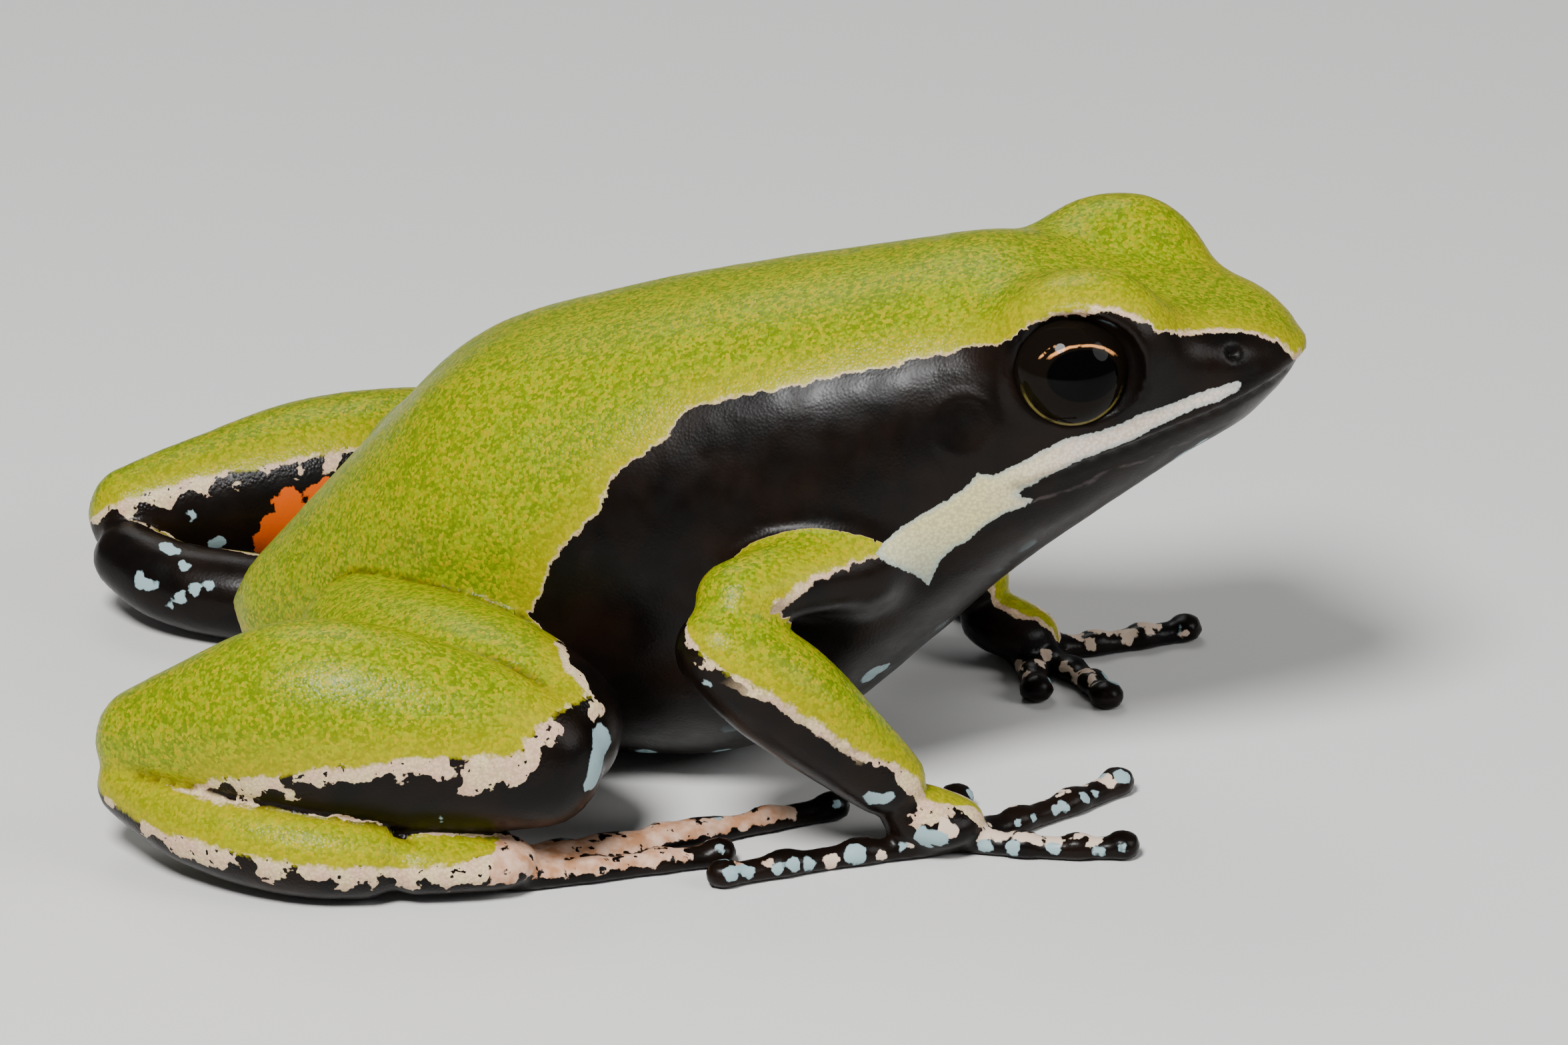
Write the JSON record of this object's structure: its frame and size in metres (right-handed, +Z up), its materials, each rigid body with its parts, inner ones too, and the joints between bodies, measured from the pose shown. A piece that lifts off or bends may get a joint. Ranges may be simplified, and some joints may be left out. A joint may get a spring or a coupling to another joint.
{
  "type": "green and black mantella frog",
  "caption": "Life-size still model of a small ground frog, sitting with folded hind legs and a raised head, that rests on its belly, hands and feet.",
  "frame": {"origin": "on the floor, at the middle of the flat that the belly rests on", "axes": "+X towards the snout, +Y towards the animal's left side, +Z up"},
  "size_m": [0.0285, 0.0218, 0.0125],
  "materials": {
    "skin": "moist, finely granular skin, lime green above and on the limbs, black on the flanks, face and fingers, with a cream lip stripe",
    "eye": "wet, clear and very glossy, near black with a copper arc over the pupil"
  },
  "bodies": {
    "root": {"torso": "skin", "head": "skin", "eye_right": "eye", "eye_left": "eye", "upper_arm_right": "skin", "forearm_right": "skin", "hand_right": "skin", "upper_arm_left": "skin", "forearm_left": "skin", "hand_left": "skin", "thigh_right": "skin", "shank_right": "skin", "tarsus_right": "skin", "foot_right": "skin", "thigh_left": "skin", "shank_left": "skin", "tarsus_left": "skin", "foot_left": "skin"}
  },
  "joints": []
}
